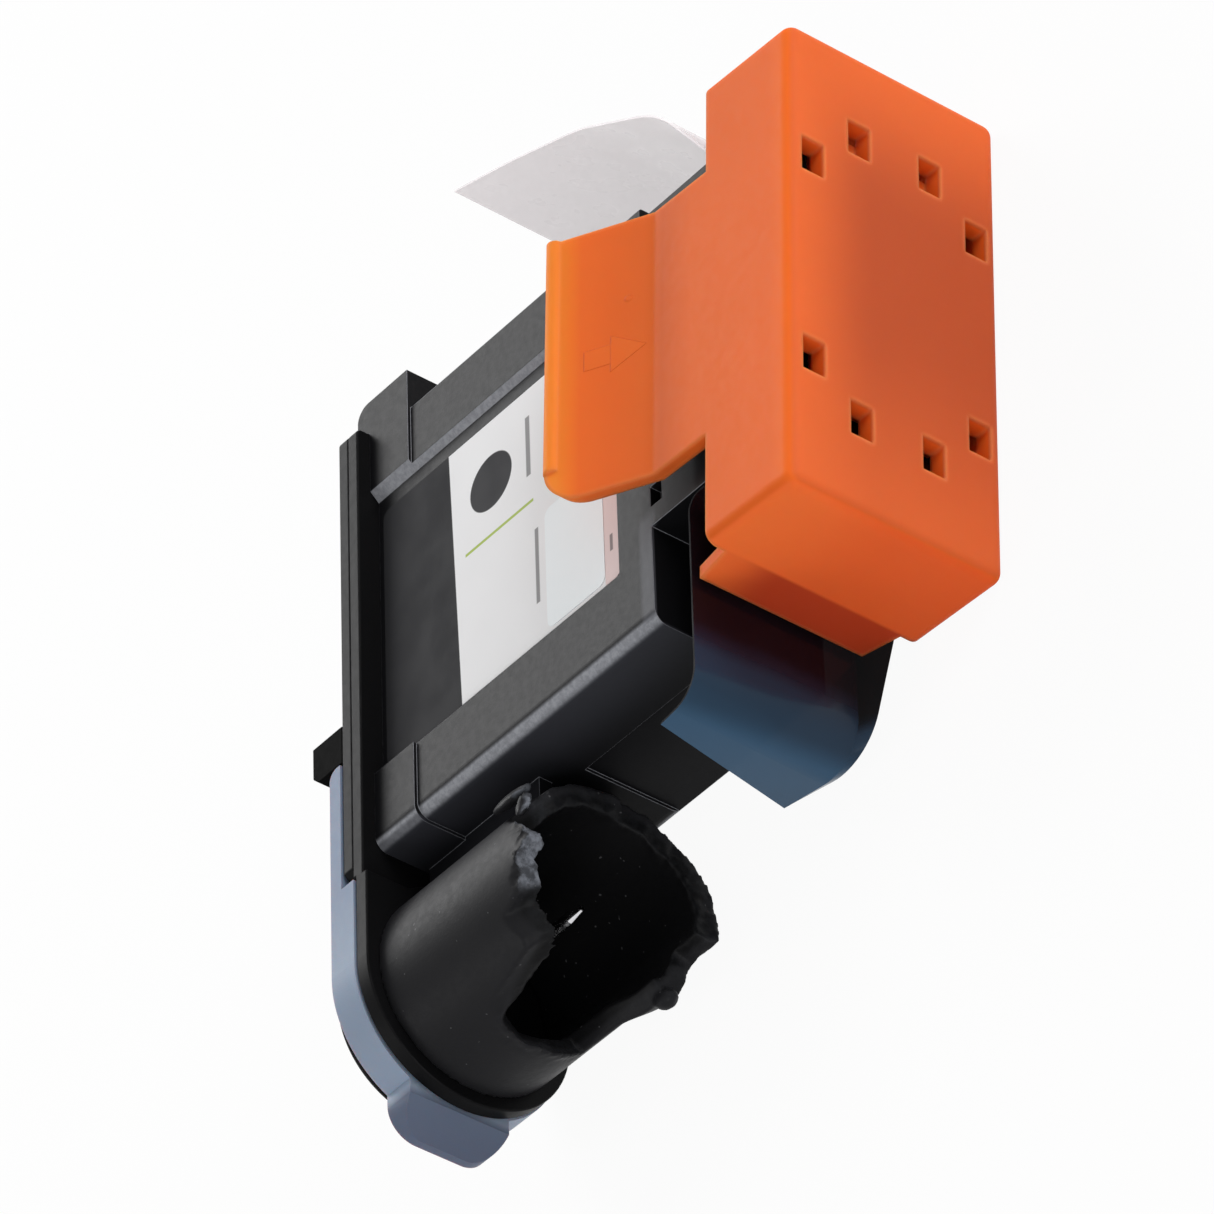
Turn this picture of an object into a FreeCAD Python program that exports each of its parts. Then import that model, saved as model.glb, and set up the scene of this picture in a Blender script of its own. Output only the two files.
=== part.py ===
import FreeCAD, Part
import math
import os
import re

import Sketcher

from FreeCAD import Placement, Rotation, Vector

# Ink printhead with its handle, port tower, label, nozzle tape and protective cap.
# X runs from the port tower to the far end, Y from the nozzles up to the handle side and
# Z across the head, towards the label. The origin is on the axis of the port tower, on the
# underside of the flange, half way across the head.

SIZES = {
    # flange, rail plate and lid
    "plate_proud": 1.75,
    "flange_thick": 1.5,
    "rail_start": 9.0,
    "rail_end": 59.0,
    "rail_rise": 0.5,
    "rail_thick": 1.35,
    "lid_thick": 1.35,
    "lid_corner": 0.6,
    "lid_bevel": 1.2,
    # housing
    "body_width": 18.5,
    "body_start": 12.4,
    "body_end": 58.6,
    "body_depth": 37.8,
    "body_corner": 1.4,
    "end_corner": 0.4,
    "shoulder_reach": 4.1,
    "shoulder_depth": 5.1,
    "shoulder_top": 2.2,
    "shoulder_round": 1.6,
    "collar_proud": 0.35,
    "nose_start": 22.6,
    "nose_end": 57.0,
    "nose_drop": 16.7,
    "nose_corner": 1.2,
    "recess_start": 20.3,
    "recess_end": 51.3,
    "recess_margin": 4.5,
    "recess_sink": 0.6,
    "recess_slope": 0.9,
    "panel_sink": 0.35,
    "panel_high": 1.5,
    "panel_top": 18.5,
    "slot_place": 25.8,
    "slot_length": 2.2,
    "slot_height": 1.5,
    "slot_sink": 1.2,
    "web_place": 3.4,
    "web_thick": 1.4,
    "web_gap": 0.3,
    "web_depth": 15.4,
    # port tower
    "tower_proud": 0.55,
    "tower_wall": 2.0,
    "tower_depth": 22.6,
    "mouth_margin": 1.5,
    "hub_radius": 4.2,
    "hub_height": 1.6,
    "hub_boss_radius": 2.4,
    "hub_boss_height": 4.4,
    "needle_radius": 0.6,
    "needle_bore": 0.25,
    "needle_reach": 15.6,
    "needle_point": 1.6,
    # cover over the port, hinge ears and handle
    "cover_height": 6.1,
    "cover_round": 0.4,
    "hinge_place": 24.6,
    "hinge_rise": 2.45,
    "trunnion_radius": 1.1,
    "trunnion_fit": 0.08,
    "trunnion_reach": 1.4,
    "ear_thick": 1.9,
    "ear_height": 4.25,
    "ear_back": 2.0,
    "ear_front": 2.1,
    "ear_slope": 0.8,
    "handle_gap": 0.2,
    "handle_side": 0.1,
    "handle_top": 4.9,
    "arm_width": 2.3,
    "lug_width": 2.0,
    "lug_radius": 2.2,
    "arm_round": 1.1,
    "tab_out": 2.7,
    "tab_width": 10.6,
    "tab_round": 2.9,
    "tab_lip": 0.8,
    "tab_slope": 2.6,
    "vent_place": 43.0,
    "vent_radius": 2.6,
    "vent_height": 0.8,
    # label
    "label_front": 0.6,
    "label_back": 1.7,
    "label_thick": 0.12,
    "label_top": 0.3,
    "label_gap": 0.25,
    "label_corner": 0.9,
    "patch_inset": 0.4,
    "patch_length": 13.2,
    "patch_rise": 2.15,
    "patch_height": 7.9,
    # nozzle parts
    "flex_start": 29.0,
    "flex_end": 51.0,
    "flex_top": 22.0,
    "flex_thick": 0.12,
    "flex_reach": 4.6,
    "die_length": 15.0,
    "die_width": 5.2,
    "die_thick": 0.14,
    "bead_width": 1.5,
    "bead_height": 0.3,
    "pad_size": 1.5,
    "pad_pitch": 2.3,
    "pad_rows": 4,
    "pad_thick": 0.08,
    "pad_top": 24.0,
    # tape over the nozzles, drawn through its near edge, its crease and its far edge
    "tape_thick": 0.2,
    "tape_gap": 0.1,
    "tape_drop": 4.9,
    "tape_bend": 1.4,
    "tape_start": 3.2,
    "near_inset": 0.15,
    "near_drop": 0.0,
    "near_turn": 1.9,
    "near_lift": 0.2,
    "near_curl": 3.2,
    "near_tail": 1.3,
    "near_rise": 4.9,
    "crease_inset": 0.65,
    "crease_drop": 0.0,
    "crease_turn": 2.5,
    "crease_lift": 0.3,
    "crease_curl": 4.2,
    "crease_tail": 4.1,
    "crease_rise": 10.3,
    "far_outset": 0.2,
    "far_drop": 7.4,
    "far_turn": 3.0,
    "far_lift": 0.3,
    "far_curl": 5.6,
    "far_tail": 4.9,
    "far_rise": 10.1,
    # pull tab of the tape
    "pull_start": 1.6,
    "pull_height": 6.7,
    "pull_bend": 1.8,
    # protective cap
    "cap_over": 15.0,
    "cap_back": 2.5,
    "cap_side": 2.3,
    "cap_height": 11.3,
    "cap_wall": 1.25,
    "cap_floor": 2.0,
    "cap_round": 1.2,
    "cap_clear": 5.6,
    "cap_tilt": 3.3,
    "skirt_inset": 2.8,
    "skirt_height": 4.2,
    "skirt_flare": 0.9,
    "hole_length": 3.6,
    "hole_width": 2.4,
    "side_hole_place": 10.7,
    "side_hole_edge": 2.55,
    "inner_hole_place": 15.1,
    "inner_hole_edge": 7.65,
    "grip_shift": 0.8,
    "grip_length": 28.4,
    "grip_straight": 7.0,
    "grip_rise": 16.4,
    "grip_flare": 4.4,
    "grip_corner": 3.4,
    "grip_bead": 0.8,
    "rib_fit": 0.3,
    "rib_length": 1.4,
    "rib_place": 13.5,
    "rib_shift": 2.3,
    "seal_length": 28.0,
    "seal_width": 13.0,
    "seal_wall": 1.0,
    "seal_height": 1.9,
}

# Sizes that follow from others, so that the pieces stay fitted to each other
FOLLOWING = {
    "plate_width": "body_width + 2 * plate_proud",
    "tower_radius": "body_width / 2 + tower_proud",
    "web_start": "sqrt(tower_radius ^ 2 - (web_place - web_thick / 2) ^ 2) + web_gap",
    "cover_radius": "plate_width / 2 + handle_side - arm_width - handle_gap",
    "tab_reach": "plate_width / 2 + handle_side + tab_out",
    "recess_depth": "body_depth - recess_margin",
    "nose_base": "body_depth + nose_drop",
    "label_start": "recess_start + label_front",
    "label_base": "recess_depth - label_gap",
    "patch_base": "label_base - patch_rise",
    "tape_level": "body_depth + tape_drop",
    "near_place": "body_width / 2 - near_inset",
    "crease_place": "crease_inset - body_width / 2",
    "far_place": "-body_width / 2 - far_outset",
    "cap_length": "nose_end - nose_start + cap_over",
    "cap_place": "(nose_start + nose_end) / 2 - cap_back",
    "cap_width": "body_width + 2 * cap_side",
    "cap_depth": "nose_base + cap_clear",
    "skirt_width": "cap_width - 2 * skirt_inset",
}

PLANES = {"X": "YZ_Plane", "Y": "XZ_Plane", "Z": "XY_Plane"}

doc = FreeCAD.newDocument("printhead")
sizes = doc.addObject("Spreadsheet::Sheet", "sizes")
rows = [(alias, str(value)) for alias, value in SIZES.items()]
rows += [(alias, "=" + text) for alias, text in FOLLOWING.items()]
for row, (alias, _) in enumerate(rows, start=1):
    sizes.set("A%d" % row, alias)
    sizes.setAlias("B%d" % row, alias)
for row, (_, content) in enumerate(rows, start=1):
    sizes.set("B%d" % row, content)
doc.recompute()

parts = []


def size(alias):
    """Value of a driving dimension, in millimetres or degrees."""
    return float(sizes.get(alias))


def cells(text):
    """Expression text with each alias turned into a reference to the sheet."""
    return re.sub(r"[a-z][a-z_]*", r"sizes.\g<0>", text)


def bind(thing, prop, text):
    thing.setExpression(prop, cells(text))


def new_body(label):
    body = doc.addObject("PartDesign::Body", label)
    body.Label = label
    parts.append(body)
    return body


def keep(thing, label):
    thing.Label = label
    parts.append(thing)
    return thing


def new_sketch(body, axis, start):
    """Sketch on the plane across an axis, at the given height along that axis."""
    plane = next(f for f in body.Origin.OriginFeatures if f.Role == PLANES[axis])
    sketch = body.newObject("Sketcher::SketchObject", body.Label + "_sketch")
    sketch.AttachmentSupport = [(plane, "")]
    sketch.MapMode = "FlatFace"
    sign = "-" if axis == "Y" else ""
    bind(sketch, "AttachmentOffset.Base.z", "%s(%s)" % (sign, start))
    return sketch


def pin(sketch, geometry, point, across, up):
    """Tie one point of a sketch to two expressions, measured from the sketch's origin."""
    place = sketch.getPoint(geometry, point)
    for kind, now, text in (("DistanceX", place.x, across), ("DistanceY", place.y, up)):
        row = sketch.addConstraint(Sketcher.Constraint(kind, -1, 1, geometry, point, now))
        bind(sketch, "Constraints[%d]" % row, text)


def outline(sketch, points):
    """Closed outline through points given as pairs of expressions."""
    count = len(points)
    first = sketch.GeometryCount
    for n in range(count):
        turn = 2 * math.pi * n / count
        step = 2 * math.pi / count
        a = Vector(9 + 5 * math.cos(turn), 9 + 5 * math.sin(turn), 0)
        b = Vector(9 + 5 * math.cos(turn + step), 9 + 5 * math.sin(turn + step), 0)
        sketch.addGeometry(Part.LineSegment(a, b), False)
    for n in range(count):
        after = first + (n + 1) % count
        sketch.addConstraint(Sketcher.Constraint("Coincident", first + n, 2, after, 1))
    for n, (across, up) in enumerate(points):
        pin(sketch, first + n, 1, across, up)


def box_outline(sketch, low, high):
    outline(sketch, [low, (high[0], low[1]), high, (low[0], high[1])])


def round_outline(sketch, radius, across="0", up="0"):
    circle = sketch.addGeometry(Part.Circle(Vector(9, 9, 0), Vector(0, 0, 1), 1), False)
    pin(sketch, circle, 3, across, up)
    row = sketch.addConstraint(Sketcher.Constraint("Radius", circle, 1.0))
    bind(sketch, "Constraints[%d]" % row, radius)


def corner_outline(sketch, across, up, radius):
    """Waste outside a round corner at the low side across and the high side up."""
    level = "(%s - %s)" % (up, radius)
    inner = "(%s + %s)" % (across, radius)
    first = sketch.addGeometry(Part.LineSegment(Vector(5, 4, 0), Vector(5, 7, 0)), False)
    sketch.addGeometry(Part.LineSegment(Vector(5, 7, 0), Vector(8, 7, 0)), False)
    circle = Part.Circle(Vector(8, 4, 0), Vector(0, 0, 1), 3)
    sketch.addGeometry(Part.ArcOfCircle(circle, math.pi / 2, math.pi), False)
    sketch.addConstraint(Sketcher.Constraint("Coincident", first, 2, first + 1, 1))
    sketch.addConstraint(Sketcher.Constraint("Coincident", first + 1, 2, first + 2, 1))
    sketch.addConstraint(Sketcher.Constraint("Coincident", first + 2, 2, first, 1))
    pin(sketch, first, 1, across, level)
    pin(sketch, first, 2, across, up)
    pin(sketch, first + 1, 2, inner, up)
    row = sketch.addConstraint(Sketcher.Constraint("Radius", first + 2, 3.0))
    bind(sketch, "Constraints[%d]" % row, radius)


def pad(body, sketch, axis, length):
    """Add material from the sketch towards the plus side of the axis."""
    feature = body.newObject("PartDesign::Pad", body.Label + "_pad")
    feature.Profile = sketch
    feature.Reversed = axis == "Y"
    bind(feature, "Length", length)
    doc.recompute()
    return feature


def cut(body, sketch, axis, length):
    """Take material away from the sketch towards the plus side of the axis."""
    before = body.Shape.Volume
    feature = body.newObject("PartDesign::Pocket", body.Label + "_pocket")
    feature.Profile = sketch
    feature.Reversed = axis != "Y"
    bind(feature, "Length", length)
    doc.recompute()
    if body.Shape.Volume >= before - 1e-6:
        raise ValueError("%s removes nothing" % feature.Name)
    return feature


def soften(body, radius, wanted, kind="Fillet"):
    """Round or bevel the edges of a body for which wanted(edge) is true."""
    base = body.Tip
    names = ["Edge%d" % n for n, e in enumerate(base.Shape.Edges, start=1) if wanted(e)]
    if not names:
        raise ValueError("%s has no such edge" % body.Label)
    feature = body.newObject("PartDesign::" + kind, body.Label + "_" + kind.lower())
    feature.Base = (base, names)
    bind(feature, "Radius" if kind == "Fillet" else "Size", radius)
    doc.recompute()
    return feature


def along(edge, axis):
    """True for a straight edge that runs along the axis."""
    direction = {"X": Vector(1, 0, 0), "Y": Vector(0, 1, 0), "Z": Vector(0, 0, 1)}[axis]
    if len(edge.Vertexes) < 2 or not isinstance(edge.Curve, Part.Line):
        return False
    run = edge.Vertexes[1].Point - edge.Vertexes[0].Point
    return abs(abs(run.normalize().dot(direction)) - 1) < 1e-6


def middle(edge):
    return edge.CenterOfMass


def near(value, target):
    return abs(value - target) < 1e-3


def crown_plate():
    """Round flange over the tower and the straight rail plate behind it."""
    body = new_body("crown_plate")
    sketch = new_sketch(body, "Y", "0")
    round_outline(sketch, "plate_width / 2")
    pad(body, sketch, "Y", "flange_thick")
    sketch = new_sketch(body, "Y", "0")
    box_outline(sketch, ("0", "-plate_width / 2"), ("rail_start", "plate_width / 2"))
    pad(body, sketch, "Y", "flange_thick")
    sketch = new_sketch(body, "Y", "rail_rise")
    box_outline(sketch, ("rail_start", "-plate_width / 2"), ("rail_end", "plate_width / 2"))
    pad(body, sketch, "Y", "rail_thick")
    end = size("rail_end")
    soften(body, "lid_corner", lambda e: along(e, "Y") and near(middle(e).x, end))


def top_lid():
    """Lid on the rail plate, bevelled where it meets the handle's round end."""
    body = new_body("top_lid")
    sketch = new_sketch(body, "Y", "rail_rise + rail_thick")
    box_outline(sketch, ("rail_start", "-plate_width / 2"), ("rail_end", "plate_width / 2"))
    pad(body, sketch, "Y", "lid_thick")
    start = size("rail_start")
    end = size("rail_end")
    soften(body, "lid_corner", lambda e: along(e, "Y") and near(middle(e).x, end))
    soften(body, "lid_bevel", lambda e: along(e, "Y") and near(middle(e).x, start), "Chamfer")


def housing():
    """Moulded housing with its shoulder, nose, label recess, side step and webs."""
    body = new_body("pen_housing")
    half = "body_width / 2"
    sketch = new_sketch(body, "Z", "-" + half)
    box_outline(sketch, ("body_start", "-body_depth"), ("body_end", "rail_rise"))
    pad(body, sketch, "Z", "body_width")
    start = size("body_start")
    end = size("body_end")
    soften(body, "body_corner", lambda e: along(e, "Y") and near(middle(e).x, start))
    soften(body, "end_corner", lambda e: along(e, "Y") and near(middle(e).x, end))
    sketch = new_sketch(body, "Z", "-(" + half + " + collar_proud)")
    outline(sketch, [
        ("body_start - collar_proud", "-shoulder_depth"),
        ("body_end + shoulder_reach", "-shoulder_depth"),
        ("body_end + shoulder_reach", "shoulder_top"),
        ("rail_end", "shoulder_top"),
        ("rail_end", "rail_rise"),
        ("body_start - collar_proud", "rail_rise"),
    ])
    pad(body, sketch, "Z", "body_width + 2 * collar_proud")
    far = size("body_end") + size("shoulder_reach")
    top = size("shoulder_top")
    soften(body, "shoulder_round",
           lambda e: along(e, "Z") and near(middle(e).x, far) and near(middle(e).y, top))
    start = size("body_start") - size("collar_proud")
    soften(body, "body_corner", lambda e: along(e, "Y") and near(middle(e).x, start))
    sketch = new_sketch(body, "Y", "-nose_base")
    box_outline(sketch, ("nose_start", "-" + half), ("nose_end", half))
    pad(body, sketch, "Y", "nose_drop")
    base = -size("nose_base")
    soften(body, "nose_corner", lambda e: along(e, "Z") and near(middle(e).y, base))
    sketch = new_sketch(body, "Y", "-recess_depth")
    outline(sketch, [
        ("recess_start", half + " - recess_sink"),
        ("recess_end", half + " - recess_sink"),
        ("recess_end + recess_slope", half + " + collar_proud"),
        ("recess_start", half + " + collar_proud"),
    ])
    cut(body, sketch, "Y", "recess_depth + rail_rise")
    sketch = new_sketch(body, "X", "body_start")
    box_outline(sketch, ("-body_depth", "-" + half), ("-panel_top", "panel_high"))
    cut(body, sketch, "X", "panel_sink")
    sketch = new_sketch(body, "Z", half + " - slot_sink")
    box_outline(sketch, ("slot_place - slot_length / 2", "-body_depth - slot_height"),
                ("slot_place + slot_length / 2", "-body_depth"))
    cut(body, sketch, "Z", "slot_sink")
    for side in ("-", ""):
        sketch = new_sketch(body, "Y", "-web_depth")
        box_outline(sketch, ("web_start", side + "web_place - web_thick / 2"),
                    ("body_start", side + "web_place + web_thick / 2"))
        pad(body, sketch, "Y", "web_depth")


# The broken mouth of the tower: angle from X towards Z, and the depth there of the outer
# and of the inner edge of the wall. The port's slot is the shallow stretch at 150 to 220.
MOUTH = [
    (-139.0, 7.2, 6.6),
    (-137.0, 17.6, 17.6),
    (-112.0, 18.4, 18.4),
    (-109.5, 22.2, 21.2),
    (-90.0, 21.6, 21.0),
    (-43.0, 20.1, 19.8),
    (-10.0, 19.6, 19.2),
    (43.0, 19.6, 19.4),
    (57.0, 16.0, 17.0),
    (74.0, 19.0, 19.4),
    (87.0, 20.7, 20.2),
    (98.0, 19.4, 19.8),
    (113.5, 18.2, 19.0),
    (119.0, 15.5, 18.2),
    (134.0, 16.4, 18.4),
    (139.5, 16.0, 18.5),
    (149.0, 9.2, 17.0),
    (161.0, 8.4, 7.9),
    (178.0, 7.9, 6.8),
    (221.0, 7.2, 6.6),
]


def mouth_wire(angle, outer_depth, inner_depth):
    """Closed wire, in the plane through the tower's axis at the angle, round the waste."""
    outer = size("tower_radius")
    inner = outer - size("tower_wall")
    margin = size("mouth_margin")
    slope = (outer_depth - inner_depth) / (outer - inner)
    base = size("tower_depth") + margin
    turn = math.radians(angle)
    corners = []
    for radius, depth in ((inner - margin, inner_depth - slope * margin),
                          (outer + margin, outer_depth + slope * margin),
                          (outer + margin, base),
                          (inner - margin, base)):
        corners.append(Vector(radius * math.cos(turn), -depth, radius * math.sin(turn)))
    return Part.makePolygon(corners + corners[:1])


def port_tower():
    """Round tower round the ink needle, with its slot and broken mouth."""
    radius = size("tower_radius")
    depth = size("tower_depth")
    down = Vector(0, -1, 0)
    shape = Part.makeCylinder(radius, depth, Vector(0, 0, 0), down)
    hollow = Part.makeCylinder(radius - size("tower_wall"), depth, Vector(0, 0, 0), down)
    shape = shape.cut(hollow)
    for one, other in zip(MOUTH, MOUTH[1:]):
        shape = shape.cut(Part.makeLoft([mouth_wire(*one), mouth_wire(*other)], True, True))
    tower = doc.addObject("Part::Feature", "port_tower")
    tower.Shape = shape
    keep(tower, "port_tower")


def turned(label, points):
    """Body turned about the tower's axis from a half outline in X and Y."""
    body = new_body(label)
    sketch = new_sketch(body, "Z", "0")
    outline(sketch, points)
    feature = body.newObject("PartDesign::Revolution", label + "_turn")
    feature.Profile = sketch
    feature.ReferenceAxis = (sketch, ["V_Axis"])
    feature.Angle = 360
    doc.recompute()
    return body


def needle_parts():
    turned("needle_hub", [
        ("0", "0"),
        ("hub_radius", "0"),
        ("hub_radius", "-hub_height"),
        ("hub_boss_radius", "-hub_height"),
        ("hub_boss_radius - needle_radius", "-hub_boss_height"),
        ("0", "-hub_boss_height"),
    ])
    turned("ink_needle", [
        ("needle_bore", "-hub_boss_height"),
        ("needle_radius", "-hub_boss_height"),
        ("needle_radius", "needle_point - needle_reach"),
        ("needle_bore", "-needle_reach"),
    ])


def port_cover():
    """Round black cover that stands inside the handle's loop."""
    body = turned("port_cover", [
        ("0", "flange_thick"),
        ("cover_radius", "flange_thick"),
        ("cover_radius", "flange_thick + cover_height"),
        ("0", "flange_thick + cover_height"),
    ])
    top = size("flange_thick") + size("cover_height")
    soften(body, "cover_round",
           lambda e: isinstance(e.Curve, Part.Circle) and near(middle(e).y, top))


LID_TOP = "rail_rise + rail_thick + lid_thick"
HINGE_UP = "(" + LID_TOP + " + hinge_rise)"


def hinge_ears():
    """Two ears on the lid, each with a blind hole for a trunnion of the handle."""
    inner = "(plate_width / 2 - ear_thick)"
    for label, side in (("hinge_ear_near", 1), ("hinge_ear_far", -1)):
        body = new_body(label)
        low = inner if side > 0 else "-plate_width / 2"
        sketch = new_sketch(body, "Z", low)
        outline(sketch, [
            ("hinge_place - ear_back", LID_TOP),
            ("hinge_place + ear_front", LID_TOP),
            ("hinge_place + ear_front", LID_TOP + " + ear_height"),
            ("hinge_place - ear_back + ear_slope", LID_TOP + " + ear_height"),
            ("hinge_place - ear_back", LID_TOP + " + ear_height - ear_slope"),
        ])
        pad(body, sketch, "Z", "ear_thick")
        bore_start = inner if side > 0 else "-" + inner + " - trunnion_reach"
        sketch = new_sketch(body, "Z", bore_start)
        round_outline(sketch, "trunnion_radius + trunnion_fit", "hinge_place", HINGE_UP)
        cut(body, sketch, "Z", "trunnion_reach")


def pull_handle():
    """Flat bail round the port cover with a finger tab and two trunnions."""
    body = new_body("pull_handle")
    outer = "(plate_width / 2 + handle_side)"
    inner = "(" + outer + " - arm_width)"
    base = "flange_thick + handle_gap"
    thick = "handle_top - flange_thick - handle_gap"
    lug_outer = "(plate_width / 2 - ear_thick - handle_gap)"
    arm_end = "(hinge_place - ear_back - handle_gap)"
    sketch = new_sketch(body, "Y", base)
    round_outline(sketch, outer)
    pad(body, sketch, "Y", thick)
    sketch = new_sketch(body, "Y", base)
    box_outline(sketch, ("0", "-" + outer), (arm_end, outer))
    pad(body, sketch, "Y", thick)
    reach = size("hinge_place") - size("ear_back") - size("handle_gap")
    soften(body, "arm_round", lambda e: along(e, "Z") and near(middle(e).x, reach)
           and near(middle(e).y, size("handle_top")))
    sketch = new_sketch(body, "Z", "-tab_width / 2")
    outline(sketch, [
        ("-cover_radius", base),
        ("-tab_reach + tab_slope", base),
        ("-tab_reach", "handle_top - tab_lip"),
        ("-tab_reach", "handle_top"),
        ("-cover_radius", "handle_top"),
    ])
    pad(body, sketch, "Z", "tab_width")
    tip = -size("tab_reach")
    soften(body, "tab_round", lambda e: along(e, "Y") and near(middle(e).x, tip))
    sketch = new_sketch(body, "Y", base)
    round_outline(sketch, inner)
    cut(body, sketch, "Y", thick)
    sketch = new_sketch(body, "Y", base)
    box_outline(sketch, ("0", "-" + inner), (arm_end, inner))
    cut(body, sketch, "Y", thick)
    sketch = new_sketch(body, "Y", base)
    box_outline(sketch, ("rail_start - handle_gap", "-" + outer), (arm_end, outer))
    cut(body, sketch, "Y", LID_TOP + " - flange_thick")
    for side in (1, -1):
        low = lug_outer + " - lug_width" if side > 0 else "-" + lug_outer
        sketch = new_sketch(body, "Z", low)
        outline(sketch, [
            (arm_end + " - arm_width - lug_radius", LID_TOP + " + handle_gap"),
            ("hinge_place", LID_TOP + " + handle_gap"),
            ("hinge_place", HINGE_UP + " + lug_radius"),
            (arm_end, "handle_top"),
            (arm_end + " - arm_width - lug_radius", "handle_top"),
        ])
        pad(body, sketch, "Z", "lug_width")
        sketch = new_sketch(body, "Z", low)
        round_outline(sketch, "lug_radius", "hinge_place", HINGE_UP)
        pad(body, sketch, "Z", "lug_width")
        stub = lug_outer if side > 0 else "-" + lug_outer + " - trunnion_reach"
        sketch = new_sketch(body, "Z", stub)
        round_outline(sketch, "trunnion_radius", "hinge_place", HINGE_UP)
        pad(body, sketch, "Z", "trunnion_reach")


def vent_plug():
    """Round plug over the vent in the lid."""
    plug = doc.addObject("Part::Cylinder", "vent_plug")
    bind(plug, "Radius", "vent_radius")
    bind(plug, "Height", "vent_height")
    plug.Placement = Placement(Vector(0, 0, 0), Rotation(Vector(1, 0, 0), -90))
    bind(plug, "Placement.Base.x", "vent_place")
    bind(plug, "Placement.Base.y", LID_TOP)
    keep(plug, "vent_plug")


def labels():
    """Label in the recess, and the patch stuck on its corner."""
    floor = "body_width / 2 - recess_sink"
    body = new_body("print_label")
    sketch = new_sketch(body, "Z", floor)
    box_outline(sketch, ("label_start", "-label_base"),
                ("recess_end - label_back", "-label_top"))
    pad(body, sketch, "Z", "label_thick")
    soften(body, "label_corner", lambda e: along(e, "Z"))
    patch = doc.addObject("Part::Box", "label_patch")
    bind(patch, "Length", "patch_length")
    bind(patch, "Width", "patch_height")
    bind(patch, "Height", "label_thick")
    bind(patch, "Placement.Base.x", "label_start + patch_inset")
    bind(patch, "Placement.Base.y", "-patch_base")
    bind(patch, "Placement.Base.z", floor + " + label_thick")
    keep(patch, "label_patch")


# Points the pull tab bends through, past the nose's end and up from its base, and the
# radii of its bends
PULL_LINE = [(10.6, 13.9), (16.6, 24.5), (20.0, 34.5), (22.3, 42.6)]
PULL_BENDS = [14.0, 20.0, 60.0]


def nozzle_parts():
    """Flexible circuit, nozzle plate, sealing beads and contact pads."""
    body = new_body("flex_circuit")
    back = "body_width / 2"
    sketch = new_sketch(body, "X", "flex_start")
    outline(sketch, [
        ("-nose_base", "flex_reach"),
        ("-nose_base", "-" + back),
        ("-flex_top", "-" + back),
        ("-flex_top", "-" + back + " - flex_thick"),
        ("-nose_base - flex_thick", "-" + back + " - flex_thick"),
        ("-nose_base - flex_thick", "flex_reach"),
    ])
    pad(body, sketch, "X", "flex_end - flex_start")
    plate = doc.addObject("Part::Box", "nozzle_plate")
    bind(plate, "Length", "die_length")
    bind(plate, "Width", "die_thick")
    bind(plate, "Height", "die_width")
    bind(plate, "Placement.Base.x", "(flex_start + flex_end - die_length) / 2")
    bind(plate, "Placement.Base.y", "-nose_base - flex_thick - die_thick")
    bind(plate, "Placement.Base.z", "-die_width / 2")
    keep(plate, "nozzle_plate")
    for label, shift in (("seal_bead_a", "-bead_width"), ("seal_bead_b", "die_length")):
        bead = doc.addObject("Part::Box", label)
        bind(bead, "Length", "bead_width")
        bind(bead, "Width", "bead_height")
        bind(bead, "Height", "die_width")
        bind(bead, "Placement.Base.x", "(flex_start + flex_end - die_length) / 2 + " + shift)
        bind(bead, "Placement.Base.y", "-nose_base - flex_thick - bead_height")
        bind(bead, "Placement.Base.z", "-die_width / 2")
        keep(bead, label)
    thick = size("pad_thick")
    pitch = size("pad_pitch")
    side = size("pad_size")
    face = -size("body_width") / 2 - size("flex_thick") - thick
    across = int((size("flex_end") - size("flex_start")) / pitch)
    first = (size("flex_start") + size("flex_end") - (across - 1) * pitch - side) / 2
    pads = []
    for column in range(across):
        for line in range(int(size("pad_rows"))):
            corner = Vector(first + column * pitch, -size("pad_top") - side - line * pitch, face)
            pads.append(Part.makeBox(side, side, thick, corner))
    group = doc.addObject("Part::Feature", "contact_pads")
    group.Shape = Part.makeCompound(pads)
    keep(group, "contact_pads")


def ribbon(label, lines):
    """Thin strip drawn through pairs of a place across the head and a path of edges there."""
    wires = []
    for place, path in lines:
        face = Part.Wire(path).makeOffset2D(size("tape_thick"), 0, True, True, False)
        wire = face.OuterWire
        wire.translate(Vector(0, 0, place))
        wires.append(wire)
    lengths = [Part.makeLoft([a, b], True, True) for a, b in zip(wires, wires[1:])]
    shape = lengths[0]
    for length in lengths[1:]:
        shape = shape.fuse(length)
    strip = doc.addObject("Part::Feature", label)
    strip.Shape = shape
    keep(strip, label)


def bent(points, radii):
    """Edges of straight runs through the points, each corner rounded by its radius."""
    edges = []
    start = points[0]
    for n in range(1, len(points) - 1):
        corner = points[n]
        back = (points[n - 1] - corner).normalize()
        ahead = (points[n + 1] - corner).normalize()
        half = back.getAngle(ahead) / 2
        radius = radii[n - 1]
        reach = radius / math.tan(half)
        centre = corner + (back + ahead).normalize() * (radius / math.sin(half))
        inward = (corner - centre).normalize() * radius
        edges.append(Part.makeLine(start, corner + back * reach))
        arc = Part.Arc(corner + back * reach, centre + inward, corner + ahead * reach)
        edges.append(arc.toShape())
        start = corner + ahead * reach
    edges.append(Part.makeLine(start, points[-1]))
    return edges


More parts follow.
